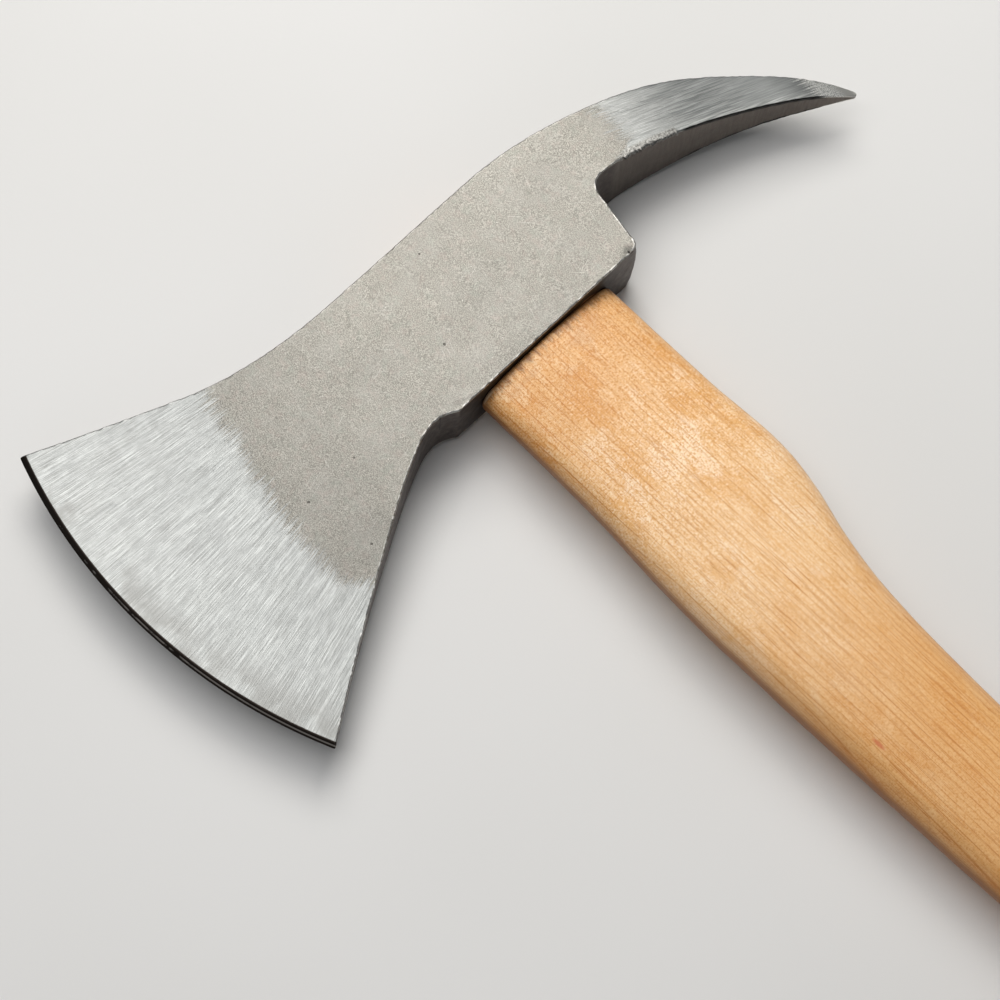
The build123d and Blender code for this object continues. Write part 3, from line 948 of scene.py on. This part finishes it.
def wood_material(name, pale, deep, line, cream):
    """The shader, color, relief and fibres of wood whose grain runs along the handle."""
    s = Shader(name)
    x, y, z = s.split(s.place)
    drift = s.noise(s.place, 1.0, 2.0, 0.5, (0.007, 0.03, 0.03))
    pith_y = s.add(y, 84.0)
    pith_z = s.add(s.add(z, -30.0), s.times(x, 0.01))
    rings = s.math("SQRT", s.add(s.times(pith_y, pith_y), s.times(pith_z, pith_z)))
    ring_number = s.add(s.times(rings, 0.56), s.times(drift, 3.4))
    phase = s.math("FRACT", ring_number)
    early = s.times(s.ease(phase, 0.50, 0.97), s.ease(phase, 1.0, 0.985))
    # Growth lines: thin, broken, along the handle; pores: shorter and finer between them
    broken = s.noise(s.place, 1.0, 3.0, 0.6, (0.028, 0.45, 0.45))
    late = s.times(s.ease(phase, 0.85, 0.89), s.ease(phase, 0.985, 0.945))
    growth = s.times(late, s.ease(broken, 0.42, 0.52))
    streaks = s.noise(s.place, 1.0, 1.0, 0.5, (0.020, 3.3, 3.3))
    long_pores = s.ease(streaks, 0.605, 0.655)
    short = s.noise(s.place, 1.0, 2.0, 0.6, (0.070, 3.2, 3.2), (11.0, 37.0, 5.0))
    short_pores = s.ease(short, 0.60, 0.65)
    fibres = s.noise(s.place, 1.0, 3.0, 0.65, (0.09, 3.2, 3.2))
    ticks = s.noise(s.place, 1.0, 2.0, 0.6, (3.0, 1.1, 1.1))
    speckle = s.noise(s.place, 2.0, 1.0, 0.5)
    patches = s.noise(s.place, 0.10, 5.0, 0.66, (0.6, 1.0, 1.0))
    warm = s.noise(s.place, 0.075, 5.0, 0.68, (0.6, 1.0, 1.0), (57.0, 13.0, 5.0))
    half_deep = tuple((a + b) / 2 for a, b in zip(pale, deep))
    torn = s.ease(x, 60.0, 120.0, 1.0, 0.45)  # rougher, paler and darker patches towards the head
    base = s.layers(
        s.mix(s.ease(fibres, 0.32, 0.68), pale, half_deep),
        (s.times(torn, s.ease(warm, 0.50, 0.585, 0.0, 0.75)), deep),
        (s.times(torn, s.ease(patches, 0.53, 0.60, 0.0, 0.80)), cream),
        (s.times(early, 0.28), deep),
        (s.times(torn, s.ease(ticks, 0.52, 0.62, 0.0, 0.65)), cream),
        (s.times(torn, s.ease(ticks, 0.47, 0.37, 0.0, 0.50)), deep),
        (s.times(torn, s.ease(speckle, 0.52, 0.62, 0.0, 0.72)), deep),
        (s.times(torn, s.ease(speckle, 0.54, 0.66, 0.0, 0.35)), line),
        (s.times(short_pores, s.ease(early, 0.0, 0.7, 0.30, 0.65)), line),
        (s.times(long_pores, 0.36), line),
        (s.times(growth, s.ease(x, 60.0, 120.0, 0.62, 0.42)), line),
    )
    grooves = s.math("MAXIMUM", s.math("MAXIMUM", growth, long_pores), s.times(short_pores, 0.6))
    relief = s.add(s.times(fibres, 0.35), s.times(grooves, -0.9))
    return s, base, relief, fibres


def handle_material():
    pale, deep = (0.940, 0.670, 0.398), (0.790, 0.405, 0.125)
    line, cream = (0.560, 0.200, 0.024), (0.990, 0.780, 0.550)
    s, color, relief, fibres = wood_material("oiled hickory", pale, deep, line, cream)
    x, y, _ = s.split(s.place)
    # Painted light falloff: deeper close to the head and towards the end
    painted_falloff = s.add(s.ease(x, 78.0, 34.0, 0.0, 0.66), s.ease(x, 105.0, 175.0, 0.0, 0.88))
    color = s.mix(painted_falloff, color, (0.860, 0.690, 0.460), "MULTIPLY")
    # Painted shade next to the head, where it overhangs the wood, a painted highlight on the bit-side
    # shoulder rim, and a few old marks
    edge_noise = s.times(s.add(s.noise(s.place, 1.0, 4.0, 0.65, (0.25, 0.7, 0.7)), -0.5), 9.0)
    near_head = s.add(s.add(x, -head_bottom), edge_noise)
    outside = s.ease(x, head_bottom - 6.0, head_bottom - 3.0)
    # Painted shade next to the head
    color = s.mix(s.times(outside, s.ease(near_head, 4.0, -0.5, 0.0, 0.85)), color, (0.200, 0.080, 0.026))
    smear = s.noise(s.place, 0.16, 3.0, 0.6, (1.0, 0.5, 0.5))
    smeared = s.times(s.times(outside, s.ease(near_head, 26.0, 3.0)), s.ease(smear, 0.48, 0.66, 0, 0.34))
    # Painted highlight along the bit-side shoulder rim
    painted_rim_highlight = s.times(s.ease(x, head_bottom + 1.6, head_bottom + 0.9), s.ease(y, -20.0, -24.0))
    red = s.marks(s.place, 0.032, (1.0, 3.5, 3.5), 0.10, 0.5)
    specks = s.marks(s.place, 0.06, None, 0.035, 0.4)
    color = s.layers(
        color,
        (smeared, (0.56, 0.26, 0.10)),
        (s.times(painted_rim_highlight, 0.75), (0.80, 0.60, 0.40)),
        (s.times(red, 0.6), (0.62, 0.10, 0.04)),
        (s.times(specks, 0.85), (0.08, 0.04, 0.02)),
    )
    # Painted shade on the sides, deeper on the bit-side flank, and the end grain drinks more oil
    facing = s.split(s.node("ShaderNodeNewGeometry").outputs["True Normal"])
    upright = s.math("ABSOLUTE", facing[2])
    # Painted shade on the bit-side flank
    painted_flank_shade = s.times(s.ease(upright, 0.97, 0.40), s.ease(facing[1], 0.1, -0.3, 0.12, 0.26))
    color = s.mix(painted_flank_shade, color, (0.640, 0.440, 0.260), "MULTIPLY")
    # Painted shade where the sides turn away
    painted_side_shade = s.ease(upright, 0.50, 0.12)
    color = s.mix(s.times(painted_side_shade, 0.92), color, (0.29, 0.110, 0.030))
    ends = s.ease(s.math("ABSOLUTE", facing[0]), 0.80, 0.97)
    color = s.mix(s.times(ends, 0.5), color, (0.36, 0.185, 0.075))
    roughness = s.add(s.ease(fibres, 0.3, 0.7, 0.38, 0.50), s.times(ends, 0.15))
    normal = s.bump(relief, 0.05, 0.6)
    return s.finish(color, roughness, normal, Coat_Weight=0.08, Coat_Roughness=0.3, Specular_IOR_Level=0.3)


def wedge_wood_material():
    pale, deep = (0.33, 0.175, 0.080), (0.25, 0.125, 0.053)
    line, cream = (0.18, 0.085, 0.036), (0.36, 0.195, 0.092)
    s, color, relief, fibres = wood_material("wedge wood", pale, deep, line, cream)
    crushed = s.noise(s.place, 0.35, 3.0, 0.6)
    color = s.mix(s.ease(crushed, 0.40, 0.70, 0, 0.4), color, (0.17, 0.085, 0.040))
    return s.finish(color, s.ease(fibres, 0.3, 0.7, 0.5, 0.7), s.bump(relief, 0.06, 0.8))


def wedge_steel_material():
    s = Shader("wedge steel")
    dents = s.noise(s.place, 0.7, 2.0, 0.5)
    grain = s.noise(s.place, 4.0, 2.0, 0.6)
    color = s.mix(s.ease(dents, 0.35, 0.65), (0.20, 0.195, 0.19), (0.42, 0.41, 0.40))
    rust = s.noise(s.place, 0.35, 4.0, 0.65)
    color = s.mix(s.ease(rust, 0.55, 0.68, 0, 0.6), color, (0.20, 0.085, 0.035))
    height = s.add(dents, s.times(grain, 0.25))
    return s.finish(color, s.ease(grain, 0.3, 0.7, 0.38, 0.55), s.bump(height, 0.15, 0.8), Metallic=0.9)


def floor_material():
    s = Shader("pale floor")
    shade_noise = s.noise(s.place, 0.004, 2.0, 0.5)
    color = s.mix(s.ease(shade_noise, 0.3, 0.7), (0.70, 0.69, 0.67), (0.74, 0.73, 0.715))
    return s.finish(color, 0.85, s.bump(s.noise(s.place, 0.8, 2.0), 0.05, 0.3))


def wear_material(piece, material):
    piece.data.materials.clear()
    piece.data.materials.append(material)


wear_material(head, steel_material())
wear_material(handle, handle_material())
wedge_wood, wedge_steel = wedge_wood_material(), wedge_steel_material()
for name, material in (
    ("kerf_wedge", wedge_wood),
    ("steel_wedge_front", wedge_steel),
    ("steel_wedge_back", wedge_steel),
):
    wear_material(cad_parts[name], material)

# ---- Floor, light and camera ----
low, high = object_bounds()
middle = (low + high) / 2
floor_mesh = bpy.data.meshes.new("floor")
floor_reach = 6.0
corners = [
    (middle.x + sx * floor_reach, middle.y + sy * floor_reach, 0)
    for sx, sy in ((-1, -1), (1, -1), (1, 1), (-1, 1))
]
floor_mesh.from_pydata(corners, [], [(0, 1, 2, 3)])
floor = bpy.data.objects.new("floor", floor_mesh)
floor.location.z = low.z
bpy.context.scene.collection.objects.link(floor)
wear_material(floor, floor_material())

# Camera: where it looks, from how far, and how it is turned
aim = Vector((47.5, -40.8, 11.75)) * MM
distance = 659.4 * MM
azimuth, elevation, roll = math.radians(-52.08), math.radians(71.40), math.radians(7.83)
away = Vector(
    (math.cos(elevation) * math.cos(azimuth), math.cos(elevation) * math.sin(azimuth), math.sin(elevation))
)
camera_data = bpy.data.cameras.new("camera")
camera_data.sensor_width = 36.0
camera_data.lens = 86.4
camera_data.clip_start = 0.05
camera = bpy.data.objects.new("camera", camera_data)
camera.matrix_world = (
    Matrix.Translation(aim + away * distance)
    @ away.to_track_quat("Z", "Y").to_matrix().to_4x4()
    @ Matrix.Rotation(roll, 4, "Z")
)
bpy.context.scene.collection.objects.link(camera)
bpy.context.scene.camera = camera


def softbox(name, direction, distance, size, energy, color=(1, 1, 1)):
    """Square area light that shines at the middle of the object."""
    data = bpy.data.lights.new(name, "AREA")
    data.shape = "SQUARE"
    data.size, data.energy, data.color = size, energy, color
    lamp = bpy.data.objects.new(name, data)
    towards = Vector(direction).normalized()
    lamp.location = middle + towards * distance
    lamp.rotation_mode = "QUATERNION"
    lamp.rotation_quaternion = towards.to_track_quat("Z", "Y")
    bpy.context.scene.collection.objects.link(lamp)


softbox("key", (-0.62, 0.45, 0.90), 1.05, 0.6, 7.4, (1.0, 0.985, 0.955))
softbox("overhead", (-0.36, -0.15, 1.0), 1.15, 0.8, 5.8)
softbox("fill", (1.0, -0.7, 0.8), 2.2, 1.2, 1.2, (0.95, 0.97, 1.0))

world = bpy.data.worlds.new("studio")
world.use_nodes = True
background = world.node_tree.nodes["Background"]
background.inputs["Color"].default_value = (0.82, 0.86, 0.92, 1)
background.inputs["Strength"].default_value = 0.15
scene = bpy.context.scene
scene.world = world
scene.view_settings.view_transform = "Standard"
